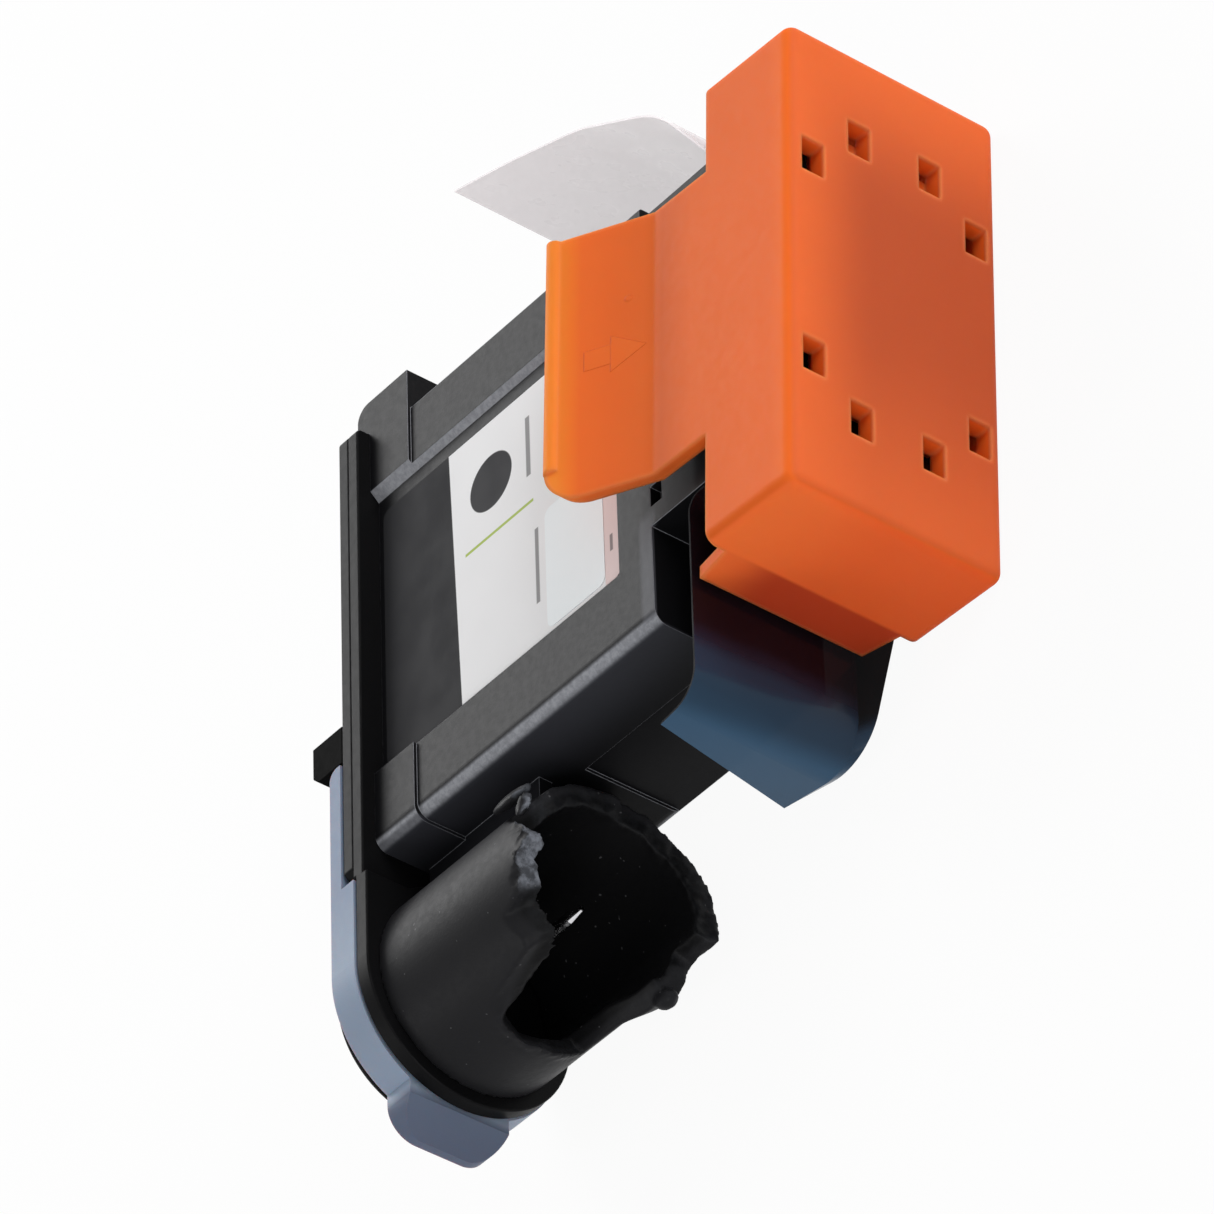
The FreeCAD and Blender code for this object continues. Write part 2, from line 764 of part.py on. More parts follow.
def tape_parts():
    """Tape across the nozzles, bent out under the tower, and its pull tab."""
    off = size("tape_gap") + size("tape_thick")
    nose = -size("nose_base")
    floor = nose - size("flex_thick") - size("bead_height") - off
    left = size("nose_start") - off
    right = size("nose_end") + off
    level = -size("tape_level")
    bend = size("tape_bend")
    lines = []
    for edge in ("near", "crease", "far"):
        lines.append((size(edge + "_place"), bent([
            Vector(right, floor + size("tape_start"), 0),
            Vector(right, floor, 0),
            Vector(left, floor, 0),
            Vector(left, level - size(edge + "_drop"), 0),
            Vector(size(edge + "_turn"), level + size(edge + "_lift"), 0),
            Vector(size(edge + "_tail"), level + size(edge + "_rise"), 0),
        ], [bend, bend, bend, size(edge + "_curl")])))
    ribbon("nozzle_tape", lines)
    pull = bent([
        Vector(right, floor + size("pull_start"), 0),
        Vector(right, nose + size("pull_height"), 0),
    ] + [Vector(size("nose_end") + x, nose + y, 0) for x, y in PULL_LINE],
        [size("pull_bend")] + PULL_BENDS)
    half = size("near_place")
    ribbon("pull_tab", [(half, pull), (-half, pull)])


def nozzle_cap():
    """Open tray over the nose with a grip tab, a skirt and eight holes."""
    body = new_body("nozzle_cap")
    sketch = new_sketch(body, "Y", "0")
    box_outline(sketch, ("-cap_length / 2", "-cap_width / 2"), ("cap_length / 2", "cap_width / 2"))
    pad(body, sketch, "Y", "cap_height")
    rim = size("cap_height")
    soften(body, "cap_round", lambda e: not near(middle(e).y, rim))
    sketch = new_sketch(body, "Y", "cap_floor")
    box_outline(sketch, ("cap_wall - cap_length / 2", "cap_wall - cap_width / 2"),
                ("cap_length / 2 - cap_wall", "cap_width / 2 - cap_wall"))
    cut(body, sketch, "Y", "cap_height - cap_floor")
    sketch = new_sketch(body, "X", "-cap_length / 2")
    outline(sketch, [
        ("cap_height - cap_round", "-skirt_width / 2 - skirt_flare"),
        ("cap_height + skirt_height", "-skirt_width / 2"),
        ("cap_height + skirt_height", "skirt_width / 2"),
        ("cap_height - cap_round", "skirt_width / 2 + skirt_flare"),
    ])
    pad(body, sketch, "X", "cap_wall")
    wall = "(cap_width / 2 - cap_wall)"
    sketch = new_sketch(body, "X", "grip_shift - grip_length / 2")
    outline(sketch, [
        ("cap_height - cap_round", wall),
        ("cap_height + grip_straight", wall),
        ("cap_height + grip_rise", wall + " + grip_flare"),
        ("cap_height + grip_rise", "cap_width / 2 + grip_flare"),
        ("cap_height + grip_straight", "cap_width / 2"),
        ("cap_height - cap_round", "cap_width / 2"),
    ])
    pad(body, sketch, "X", "grip_length")
    sketch = new_sketch(body, "Z", wall)
    corner_outline(sketch, "grip_shift - grip_length / 2", "cap_height + grip_rise", "grip_corner")
    cut(body, sketch, "Z", "cap_wall + grip_flare")
    sketch = new_sketch(body, "X", "grip_shift - grip_length / 2 + grip_corner")
    bead = "(cap_height + grip_rise - grip_bead / 2)"
    round_outline(sketch, "grip_bead", bead, "cap_width / 2 + grip_flare - cap_wall / 2")
    pad(body, sketch, "X", "grip_length - grip_corner")
    for place, edge in (("side_hole_place", "side_hole_edge"),
                        ("inner_hole_place", "inner_hole_edge")):
        sketch = new_sketch(body, "Y", "0")
        for end in ("-", ""):
            for side in ("-", ""):
                across = "%s%s" % (end, place)
                up = "%s(cap_width / 2 - %s)" % (side, edge)
                box_outline(sketch, (across + " - hole_length / 2", up + " - hole_width / 2"),
                            (across + " + hole_length / 2", up + " + hole_width / 2"))
        cut(body, sketch, "Y", "cap_floor")
    gap = "(cap_width / 2 - cap_wall - body_width / 2 - rib_fit)"
    for side in (-1, 1):
        for end in (-1, 1):
            sketch = new_sketch(body, "Y", "cap_floor")
            across = "rib_shift + rib_place" if end > 0 else "rib_shift - rib_place"
            low = wall + " - " + gap if side > 0 else "-" + wall
            high = wall if side > 0 else "-" + wall + " + " + gap
            box_outline(sketch, (across + " - rib_length / 2", low),
                        (across + " + rib_length / 2", high))
            pad(body, sketch, "Y", "cap_height - cap_floor - cap_round")
    sketch = new_sketch(body, "Y", "cap_floor")
    box_outline(sketch, ("rib_shift - seal_length / 2", "-seal_width / 2"),
                ("rib_shift + seal_length / 2", "seal_width / 2"))
    box_outline(sketch,
                ("rib_shift - seal_length / 2 + seal_wall", "seal_wall - seal_width / 2"),
                ("rib_shift + seal_length / 2 - seal_wall", "seal_width / 2 - seal_wall"))
    pad(body, sketch, "Y", "seal_height")
    body.Placement = Placement(Vector(0, 0, 0), Rotation(Vector(0, 0, 1), -size("cap_tilt")))
    bind(body, "Placement.Base.x", "cap_place")
    bind(body, "Placement.Base.y", "-cap_depth")


housing()
crown_plate()
top_lid()
port_tower()
needle_parts()
port_cover()
hinge_ears()
vent_plug()
labels()
nozzle_parts()
tape_parts()
pull_handle()
nozzle_cap()
doc.recompute()

for thing in doc.Objects:
    if {"Invalid", "Error"} & set(thing.State):
        raise ValueError("%s failed: %s" % (thing.Name, thing.State))
for part in parts:
    if part.Shape.isNull() or not part.Shape.isValid():
        raise ValueError("%s has no valid shape" % part.Label)

os.makedirs("parts", exist_ok=True)
for part in parts:
    part.Shape.exportStep("parts/%s.step" % part.Label)
    box = part.Shape.BoundBox
    print("%-16s solids %d volume %9.3f  x %.2f %.2f  y %.2f %.2f  z %.2f %.2f" % (
        part.Label, len(part.Shape.Solids), part.Shape.Volume,
        box.XMin, box.XMax, box.YMin, box.YMax, box.ZMin, box.ZMax))
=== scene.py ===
"""Looks of the printhead: materials, the torn mouth of its tower, label patch, studio, camera."""
import math

import bmesh
import bpy
from mathutils import Matrix, Vector, noise


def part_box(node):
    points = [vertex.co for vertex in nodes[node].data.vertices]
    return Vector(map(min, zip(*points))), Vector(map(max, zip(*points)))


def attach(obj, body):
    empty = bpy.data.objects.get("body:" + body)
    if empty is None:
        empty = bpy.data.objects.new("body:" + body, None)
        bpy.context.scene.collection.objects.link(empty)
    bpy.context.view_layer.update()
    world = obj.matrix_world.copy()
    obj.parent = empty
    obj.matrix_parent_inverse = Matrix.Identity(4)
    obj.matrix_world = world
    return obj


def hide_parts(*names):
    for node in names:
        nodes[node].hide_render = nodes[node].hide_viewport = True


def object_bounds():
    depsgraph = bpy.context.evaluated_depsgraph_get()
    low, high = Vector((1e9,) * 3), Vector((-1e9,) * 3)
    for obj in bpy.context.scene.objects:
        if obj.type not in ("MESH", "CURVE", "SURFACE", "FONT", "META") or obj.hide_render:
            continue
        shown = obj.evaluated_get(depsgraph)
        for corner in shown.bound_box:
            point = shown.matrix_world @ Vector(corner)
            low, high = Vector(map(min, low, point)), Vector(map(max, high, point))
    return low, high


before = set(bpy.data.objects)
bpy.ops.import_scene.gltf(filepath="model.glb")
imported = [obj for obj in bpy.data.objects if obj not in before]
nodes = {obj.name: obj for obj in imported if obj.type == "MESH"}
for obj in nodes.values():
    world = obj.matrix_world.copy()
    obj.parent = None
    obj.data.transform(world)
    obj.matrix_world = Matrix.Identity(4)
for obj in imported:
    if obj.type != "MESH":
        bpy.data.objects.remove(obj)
cad_low, cad_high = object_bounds()

MM = 0.001

# The cap stands a little askew: its own axes run along its length and across its depth, in mm
CAP_TURN = math.radians(3.3)
CAP_COS = math.cos(CAP_TURN)
CAP_SIN = math.sin(CAP_TURN)

# Camera of the photograph, found from the object's corners in it
CAMERA_PLACE = Vector((-0.4614081, -0.4826797, 0.3811545))
CAMERA_RIGHT = Vector((-0.027582, -0.618248, -0.785499))
CAMERA_UP = Vector((0.772829, -0.511586, 0.375519))
CAMERA_LENS = 266.074
CAMERA_SENSOR = 36.0
CAMERA_CLIP = (0.01, 20.0)

WHITE = (1.0, 1.0, 1.0, 1.0)

# Specular level of the plastics
BLACK_SHINE = 0.065
PLATE_SHINE = 0.04
EAR_SHINE = 0.01
ORANGE_SHINE = 0.05
HANDLE_SHINE = 0.08

# Noise of the plastics: scales per metre, and the parts of the noise that are spread out
CLOUD_SCALE = 140.0
GLOSS_SCALE = 1500.0
GLOSS_BAND = (0.25, 0.75)
WEAR_SCALE = 900.0
WEAR_BAND = (0.40, 0.62)
GRAIN_SCALE = 5200.0
GRAIN_STRENGTH = 0.35
GRAIN_DEPTH = 0.02 * MM
SHEET_BAND = (0.3, 0.7)

EDGE_SAMPLES = 6


def shade(red, green, blue):
    """Linear colour from a colour as a screen shows it, 0 to 255."""
    def linear(value):
        value = value / 255
        if value <= 0.04045:
            return value / 12.92
        return ((value + 0.055) / 1.055) ** 2.4
    return (linear(red), linear(green), linear(blue), 1.0)


class Nodes:
    """Short ways to add and join the nodes of one material."""

    def __init__(self, name):
        self.material = bpy.data.materials.new(name)
        self.material.use_nodes = True
        self.tree = self.material.node_tree
        self.shader = self.tree.nodes["Principled BSDF"]
        self.output = self.tree.nodes["Material Output"]
        coordinates = self.tree.nodes.new("ShaderNodeTexCoord")
        self.place = coordinates.outputs["Object"]

    def add(self, kind, **values):
        """A new node with its settings."""
        node = self.tree.nodes.new("ShaderNode" + kind)
        for key, value in values.items():
            setattr(node, key, value)
        return node

    def join(self, source, target):
        """Link two sockets."""
        self.tree.links.new(source, target)

    def feed(self, target, value):
        """Link a socket, or set a plain value."""
        if isinstance(value, bpy.types.NodeSocket):
            self.join(value, target)
        else:
            target.default_value = value

    def set(self, name, value):
        """Link or set a socket of the shader."""
        self.feed(self.shader.inputs[name], value)

    def maths(self, operation, first, second=0.0, third=0.0):
        """Result of a sum with one, two or three values."""
        node = self.add("Math", operation=operation)
        for socket, value in zip(node.inputs, (first, second, third)):
            self.feed(socket, value)
        return node.outputs["Value"]

    def both(self, first, *others):
        """Product of masks and shares."""
        for other in others:
            first = self.maths("MULTIPLY", first, other)
        return first

    def flip(self, mask):
        """0 where the mask is 1, and 1 where it is 0."""
        return self.maths("SUBTRACT", 1.0, mask)

    def mix(self, factor, first, second):
        """First colour at 0 and second colour at 1."""
        node = self.add("Mix", data_type="RGBA")
        self.feed(node.inputs["Factor"], factor)
        self.feed(node.inputs["A"], first)
        self.feed(node.inputs["B"], second)
        return node.outputs["Result"]

    def noise(self, scale, detail=3.0, rough=0.5):
        """Noise in object space."""
        node = self.add("TexNoise")
        node.inputs["Scale"].default_value = scale
        node.inputs["Detail"].default_value = detail
        node.inputs["Roughness"].default_value = rough
        self.join(self.place, node.inputs["Vector"])
        return node.outputs["Fac"]

    def span(self, value, low, high, start=0.0, end=1.0):
        """Value mapped from low..high to start..end, and held there."""
        node = self.add("MapRange", interpolation_type="SMOOTHSTEP")
        self.feed(node.inputs["Value"], value)
        node.inputs["From Min"].default_value = low
        node.inputs["From Max"].default_value = high
        node.inputs["To Min"].default_value = start
        node.inputs["To Max"].default_value = end
        return node.outputs["Result"]

    def ramp(self, value, stops):
        """Colour along a value: stops are rising places with their colours."""
        low = stops[0][0]
        reach = stops[-1][0] - low
        node = self.add("ValToRGB")
        places = node.color_ramp.elements
        while len(places) < len(stops):
            places.new(1.0)
        for element, (place, colour) in zip(places, stops):
            element.position = (place - low) / reach
            element.color = colour
        share = self.maths("DIVIDE", self.maths("SUBTRACT", value, low), reach)
        self.join(share, node.inputs["Fac"])
        return node.outputs["Color"]

    def axes(self):
        """Object-space X, Y and Z, in millimetres."""
        node = self.add("SeparateXYZ")
        self.join(self.place, node.inputs["Vector"])
        return [self.maths("MULTIPLY", out, 1 / MM) for out in node.outputs]

    def facing(self):
        """How squarely the surface faces X, Y and Z, either way."""
        parts = self.add("SeparateXYZ")
        self.join(self.add("NewGeometry").outputs["Normal"], parts.inputs["Vector"])
        return [self.maths("ABSOLUTE", out) for out in parts.outputs]

    def step(self, value, edge, soft=0.06):
        """0 below the edge and 1 above it, with a soft border of that half width."""
        return self.span(value, edge - soft, edge + soft)

    def between(self, value, low, high, soft=0.06):
        """1 between two edges."""
        return self.maths("SUBTRACT", self.step(value, low, soft), self.step(value, high, soft))

    def oblong(self, x, y, sides):
        """1 inside a rectangle: low and high x, then low and high y."""
        return self.both(self.between(x, *sides[:2]), self.between(y, *sides[2:]))

    def spot(self, first, second, centre, radius, soft=0.06):
        """1 inside a circle in two object axes."""
        across = self.maths("SUBTRACT", first, centre[0])
        up = self.maths("SUBTRACT", second, centre[1])
        square = self.maths("MULTIPLY_ADD", up, up, self.maths("MULTIPLY", across, across))
        return self.flip(self.step(self.maths("SQRT", square), radius, soft))

    def rounded(self, low, high):
        """1 on faces that lean between the axes, such as fillets, and 0 on square faces."""
        x, y, z = self.facing()
        most = self.maths("MAXIMUM", x, self.maths("MAXIMUM", y, z))
        return self.span(self.flip(most), low, high)

    def edges(self, radius, low=0.02, high=0.30):
        """1 on worn edges and 0 on faces."""
        dot = self.add("VectorMath", operation="DOT_PRODUCT")
        self.join(self.soft_normal(radius), dot.inputs[0])
        self.join(self.add("NewGeometry").outputs["Normal"], dot.inputs[1])
        return self.span(self.flip(dot.outputs["Value"]), low, high)

    def soft_normal(self, radius):
        """Normal that turns evenly round the edges."""
        bevel = self.add("Bevel", samples=EDGE_SAMPLES)
        bevel.inputs["Radius"].default_value = radius
        return bevel.outputs["Normal"]

    def cloud(self):
        """Slow, soft change over a whole piece."""
        return self.noise(CLOUD_SCALE, 4.0)

    def wear(self, radius, share):
        """Worn places of the edges, up to a share."""
        return self.both(self.edges(radius), self.span(self.noise(WEAR_SCALE), *WEAR_BAND), share)

    def uneven(self, low, high, scale=GLOSS_SCALE, band=GLOSS_BAND):
        """Noise between low and high, for a gloss that isn't even."""
        return self.span(self.noise(scale), *band, low, high)

    def bump(self, height, strength, distance, under=None):
        """Normal of a bump over another normal, or over the plain surface."""
        node = self.add("Bump")
        node.inputs["Strength"].default_value = strength
        node.inputs["Distance"].default_value = distance
        self.join(height, node.inputs["Height"])
        if under is not None:
            self.join(under, node.inputs["Normal"])
        return node.outputs["Normal"]

    def grain(self, under=None):
        """Fine moulded grain."""
        height = self.noise(GRAIN_SCALE, 2.0)
        self.set("Normal", self.bump(height, GRAIN_STRENGTH, GRAIN_DEPTH, under))


def moulded(name, colour, rough, edge_colour=None, mottle=0.10, shine=0.5):
    """Moulded plastic with grain, soft mottling, uneven gloss and paler edges."""
    kit = Nodes(name)
    darker = tuple(channel * (1 - mottle) for channel in colour[:3]) + (1.0,)
    paler = tuple(min(1.0, channel * (1 + mottle)) for channel in colour[:3]) + (1.0,)
    tone = kit.mix(kit.cloud(), darker, paler)
    if edge_colour:
        tone = kit.mix(kit.wear(0.25 * MM, 0.5), tone, edge_colour)
    kit.set("Base Color", tone)
    kit.set("Roughness", kit.uneven(rough - 0.03, rough + 0.03))
    kit.set("Specular IOR Level", shine)
    kit.grain()
    return kit


# Painted highlights on the housing, in mm: its flank below the tower, painted lighter towards the
# top, and the lip beside the nose
FLANK_RISE = (1.0, 8.6)
FLANK_FACE = (12.45, 12.75)
LIP_ACROSS = (-38.2, -36.2)
LIP_ALONG = (10.0, 24.0)
LIP_FACE = 9.0


def housing_kit():
    """Black plastic with painted highlights on its rounded edges, its flank and the lip beside the
    nose, and worn edges.
    """
    kit = Nodes("housing_plastic")
    x, y, z = kit.axes()
    tone = kit.mix(kit.cloud(), shade(16, 16, 18), shade(19, 19, 21))
    grains = kit.span(kit.noise(1900.0, 4.0, 0.7), 0.34, 0.66, 0.72, 1.0)
    # Painted highlight: the rounded edges are paler where they would catch the light
    tone = kit.mix(kit.both(kit.rounded(0.015, 0.13), grains), tone, shade(160, 162, 168))
    tone = kit.mix(kit.wear(0.3 * MM, 0.4), tone, shade(104, 106, 112))
    # Painted light on the flank below the tower, growing towards its top
    flank_light = kit.both(kit.span(z, *FLANK_RISE), kit.flip(kit.span(x, *FLANK_FACE)), 0.6)
    tone = kit.mix(flank_light, tone, shade(62, 63, 69))
    # Painted highlight along the lip beside the nose
    lip = kit.both(kit.between(y, *LIP_ACROSS, 0.35), kit.step(z, LIP_FACE),
                   kit.between(x, *LIP_ALONG, 0.8), 0.5)
    tone = kit.mix(lip, tone, shade(92, 93, 99))
    kit.set("Base Color", tone)
    kit.set("Roughness", kit.uneven(0.39, 0.45))
    kit.set("Specular IOR Level", BLACK_SHINE)
    kit.grain()
    return kit


# Radius of the tower from which its outside tone counts, in mm: the outside is painted lighter and
# the mouth within darker, as painted light and shade
TOWER_SKIN = 8.9


def torn_kit():
    """Black plastic of the tower, painted lighter outside than in its mouth, and pale on its torn
    rim as a painted highlight.
    """
    kit = Nodes("torn_plastic")
    x, _, z = kit.axes()
    tone = kit.mix(kit.cloud(), shade(28, 28, 30), shade(34, 34, 36))
    # Painted shade: the mouth is a darker copy of the outside's plastic
    inside = kit.spot(x, z, (0.0, 0.0), TOWER_SKIN, 0.3)
    tone = kit.mix(inside, tone, shade(17, 17, 18))
    # Painted highlight on the torn rim, full on its lit side
    mark = kit.add("Attribute", attribute_name="torn")
    grains = kit.span(kit.noise(800.0, 5.0, 0.7), 0.36, 0.64, 0.25, 1.0)
    tone = kit.mix(kit.both(mark.outputs["Fac"], grains), tone, shade(120, 124, 132))
    specks = kit.span(kit.noise(2300.0, 0.0), 0.83, 0.86)
    tone = kit.mix(kit.both(specks, 0.4), tone, shade(110, 110, 112))
    kit.set("Base Color", tone)
    kit.set("Roughness", kit.uneven(0.40, 0.48))
    kit.set("Specular IOR Level", BLACK_SHINE)
    kit.set("Normal", kit.bump(kit.noise(4200.0, 3.0), 0.4, 0.03 * MM))
    return kit


# Raised arrow and gate mark on the grip, in mm along the cap's own axes
ARROW_MIDDLE = 41.6
ARROW_TIP = -38.9
ARROW_NECK = -35.8
ARROW_END = -33.5
ARROW_STEM = 1.05
ARROW_HEAD = 1.95
GATE = (47.1, -37.3)
GATE_RADIUS = 0.3
MARK_FACE = 11.4
MARK_HEIGHT = 0.12 * MM


def grip_marks(kit, run, rise, z):
    """Masks of the arrow and of the gate mark on the grip's outer side."""
    outer = kit.step(z, MARK_FACE)
    aside = kit.maths("ABSOLUTE", kit.maths("SUBTRACT", run, ARROW_MIDDLE))
    stem = kit.both(kit.between(rise, ARROW_NECK, ARROW_END), kit.flip(kit.step(aside, ARROW_STEM)))
    widening = ARROW_HEAD / (ARROW_NECK - ARROW_TIP)
    half = kit.both(kit.maths("SUBTRACT", rise, ARROW_TIP), widening)
    head = kit.both(kit.between(rise, ARROW_TIP, ARROW_NECK),
                    kit.step(kit.maths("SUBTRACT", half, aside), 0.0))
    arrow = kit.both(kit.maths("MAXIMUM", stem, head), outer)
    gate = kit.both(kit.spot(run, rise, GATE, GATE_RADIUS, 0.15), outer)
    return arrow, gate


# Tone of the cap's label side from its front to the end of the grip, in mm across its depth: paler
# at the front edge as a painted highlight, and darker at -40.6 as painted shade in the grip's
# crease
CAP_TONES = (
    (-58.0, shade(254, 118, 44)),
    (-55.0, shade(242, 108, 40)),
    (-44.5, shade(232, 106, 40)),
    (-40.6, shade(214, 98, 40)),
    (-38.6, shade(228, 108, 50)),
    (-35.5, shade(236, 109, 48)),
    (-33.2, shade(243, 113, 48)),
    (-32.3, shade(250, 126, 48)),
    (-31.2, shade(253, 142, 54)),
)
# Borders of the cap's sides, in mm along its own axes
CAP_SIDE = 10.6
CAP_FRONT = -57.5
CAP_END = 16.3
CAP_SKIRT = -46.8
CAP_GLOW = 0.35
CAP_GLOW_DEPTH = 1.5 * MM
CAP_GLOW_COLOURS = (1.0, 0.35, 0.10)


def orange_kit():
    """Orange plastic, darker towards the middle of its front face, paler along the grip, with
    painted highlights on its edges and the top of its end face, and painted shade at the grip's
    crease and on the skirt.
    """
    kit = Nodes("orange_plastic")
    x, y, z = kit.axes()
    run = kit.maths("MULTIPLY_ADD", y, -CAP_SIN, kit.maths("MULTIPLY", x, CAP_COS))
    rise = kit.maths("MULTIPLY_ADD", y, CAP_COS, kit.maths("MULTIPLY", x, CAP_SIN))
    tone = kit.mix(kit.step(z, CAP_SIDE, 0.3), shade(236, 104, 36), kit.ramp(rise, CAP_TONES))
    # Darker towards the middle and the low side of the front face
    thick = kit.both(kit.span(run, 14.0, 38.0, 0.30, 1.0), kit.span(run, 49.0, 66.0, 1.0, 0.0),
                     kit.span(z, 2.0, 11.5, 1.0, 0.0))
    front = kit.mix(thick, shade(234, 108, 54), shade(190, 84, 47))
    tone = kit.mix(kit.step(rise, CAP_FRONT, 0.2), front, tone)
    # Painted light: the end face is paler towards its top
    end = kit.mix(kit.span(z, -2.0, 11.0), shade(240, 100, 46), shade(255, 118, 56))
    # Painted shade on the skirt of the end face
    skirt_shade = kit.both(kit.step(rise, CAP_SKIRT, 0.25), kit.span(z, 3.0, 8.5, 1.0, 0.15))
    end = kit.mix(skirt_shade, end, shade(192, 66, 34))
    tone = kit.mix(kit.step(run, CAP_END, 0.15), end, tone)
    # Painted highlight along the rounded edges
    edge_highlight = kit.both(kit.edges(0.9 * MM, 0.01, 0.22), 0.55)
    tone = kit.mix(edge_highlight, tone, shade(255, 152, 92))
    arrow, gate = grip_marks(kit, run, rise, z)
    tone = kit.mix(kit.both(arrow, 0.35), tone, shade(240, 116, 50))
    mottle = kit.add("Mix", data_type="RGBA", blend_type="MULTIPLY")
    kit.feed(mottle.inputs["Factor"], 1.0)
    kit.feed(mottle.inputs["A"], tone)
    kit.feed(mottle.inputs["B"], kit.mix(kit.cloud(), shade(246, 246, 246), WHITE))
    kit.set("Base Color", mottle.outputs["Result"])
    kit.set("Roughness", kit.uneven(0.48, 0.55))
    kit.set("Specular IOR Level", ORANGE_SHINE)
    kit.set("Subsurface Weight", CAP_GLOW)
    kit.set("Subsurface Scale", CAP_GLOW_DEPTH)
    kit.set("Subsurface Radius", CAP_GLOW_COLOURS)
    raised = kit.bump(kit.maths("ADD", arrow, gate), 1.0, MARK_HEIGHT, kit.soft_normal(0.6 * MM))
    kit.grain(raised)
    return kit


# Tone of the handle from the end of its finger tab towards the hinge, in mm of x: painted shade on
# the finger tab and painted light on the lower loop
HANDLE_TONES = (
    (-14.0, shade(94, 102, 122)),
    (-11.2, shade(100, 110, 130)),
    (-10.4, shade(150, 164, 184)),
    (2.0, shade(142, 156, 176)),
    (9.0, shade(128, 142, 165)),
)


def handle_kit():
    """Pale blue plastic, with painted shade on the finger tab and painted light on its lower loop.
    """
    kit = Nodes("handle_plastic")
    x, _, _ = kit.axes()
    mottle = kit.both(kit.cloud(), 0.12)
    kit.set("Base Color", kit.mix(mottle, kit.ramp(x, HANDLE_TONES), shade(110, 122, 146)))
    kit.set("Roughness", kit.uneven(0.39, 0.45))
    kit.set("Specular IOR Level", HANDLE_SHINE)
    kit.set("Subsurface Weight", 0.30)
    kit.set("Subsurface Scale", 1.0 * MM)
    kit.grain()
    return kit


# Print on the label, in mm: rectangles are low and high x, then low and high y
DARK_EDGE = -11.82
DARK_LEAN = -0.04
STRIP_EDGE = -30.9
DISC = (42.8, -15.7)
DISC_RADIUS = 2.95
THIN_LINE = (36.7, 37.03, -21.5, -11.9)
BARS = (
    (39.9, 46.6, -21.25, -20.65),
    (25.1, 33.4, -22.05, -21.55),
    (24.2, 26.0, -32.05, -31.65),
)


def label_kit():
    """Printed label: dark and white fields, a disc, a line, plain bars and a pink strip."""
    kit = Nodes("label_paper")
    x, y, _ = kit.axes()
    tone = kit.mix(kit.noise(90.0), shade(238, 238, 239), shade(243, 243, 244))
    tone = kit.mix(kit.flip(kit.step(y, STRIP_EDGE)), tone, shade(236, 216, 214))
    tone = kit.mix(kit.spot(x, y, DISC, DISC_RADIUS), tone, shade(62, 62, 64))
    tone = kit.mix(kit.oblong(x, y, THIN_LINE), tone, shade(176, 196, 104))
    for bar in BARS:
        tone = kit.mix(kit.both(kit.oblong(x, y, bar), 0.7), tone, shade(80, 78, 80))
    dark = kit.mix(kit.noise(300.0), shade(46, 46, 48), shade(52, 52, 54))
    lean = kit.maths("MULTIPLY_ADD", x, DARK_LEAN, y)
    kit.set("Base Color", kit.mix(kit.step(lean, DARK_EDGE), tone, dark))
    kit.set("Roughness", kit.uneven(0.50, 0.60, 260.0, SHEET_BAND))
    kit.set("Specular IOR Level", 0.02)
    kit.set("Normal", kit.bump(kit.noise(2600.0, 2.0), 0.15, 0.01 * MM))
    return kit


def metal_kit(name, colour, low, high, scale):
    """Bright metal with an uneven polish."""
    kit = Nodes(name)
    kit.set("Base Color", colour)
    kit.set("Metallic", 1.0)
    kit.set("Roughness", kit.uneven(low, high, scale, SHEET_BAND))
    return kit


# Tone of the tape along the nose, from its pale curled end, in mm of x: dark brown over the nose,
# partly ink stain and partly painted shade from the cap
TAPE_TONES = (
    (2.0, shade(46, 74, 98)),
    (4.5, shade(38, 58, 78)),
    (7.6, shade(38, 56, 76)),
    (9.2, shade(36, 36, 52)),
    (10.6, shade(30, 21, 27)),
    (24.0, shade(28, 16, 20)),
    (50.0, shade(40, 62, 86)),
)
TAPE_LAP = -40.2
TAPE_WAVE = 1.6
FILM_SCALE = 300.0


def tape_kit():
    """Blue tape, dark brown over the nose, partly ink stain and partly painted shade from the cap.
    """
    kit = Nodes("blue_film")
    x, y, _ = kit.axes()
    wave = kit.maths("MULTIPLY_ADD", kit.noise(70.0, 2.0), TAPE_WAVE, x)
    tone = kit.mix(kit.step(y, TAPE_LAP, 1.2), kit.ramp(wave, TAPE_TONES), shade(54, 86, 114))
    cut = kit.step(kit.facing()[2], 0.8, 0.1)
    kit.set("Base Color", kit.mix(cut, tone, shade(8, 9, 12)))
    gloss = kit.uneven(0.14, 0.26, FILM_SCALE, SHEET_BAND)
    kit.set("Roughness", kit.maths("MULTIPLY_ADD", cut, 0.5, gloss))
    kit.set("Specular IOR Level", 0.10)
    kit.set("Alpha", 0.94)
    return kit


def pull_film_kit():
    """Milky white film."""
    kit = Nodes("white_film")
    kit.set("Base Color", kit.mix(kit.noise(80.0), shade(236, 224, 228), shade(246, 236, 239)))
    kit.set("Roughness", kit.uneven(0.25, 0.4, FILM_SCALE, SHEET_BAND))
    kit.set("Alpha", 0.38)
    return kit


torn_black = torn_kit()
plate_black = moulded("plate_plastic", shade(17, 17, 18), 0.40, shade(80, 82, 86),
                      shine=PLATE_SHINE)
ear_black = moulded("ear_plastic", shade(12, 12, 12), 0.6, shine=EAR_SHINE)
patch = moulded("patch_paper", shade(243, 248, 250), 0.48, mottle=0.02, shine=0.05)
resin = moulded("bead_resin", shade(28, 26, 28), 0.2)
gold = metal_kit("pad_gold", shade(226, 178, 92), 0.2, 0.36, 2500.0)

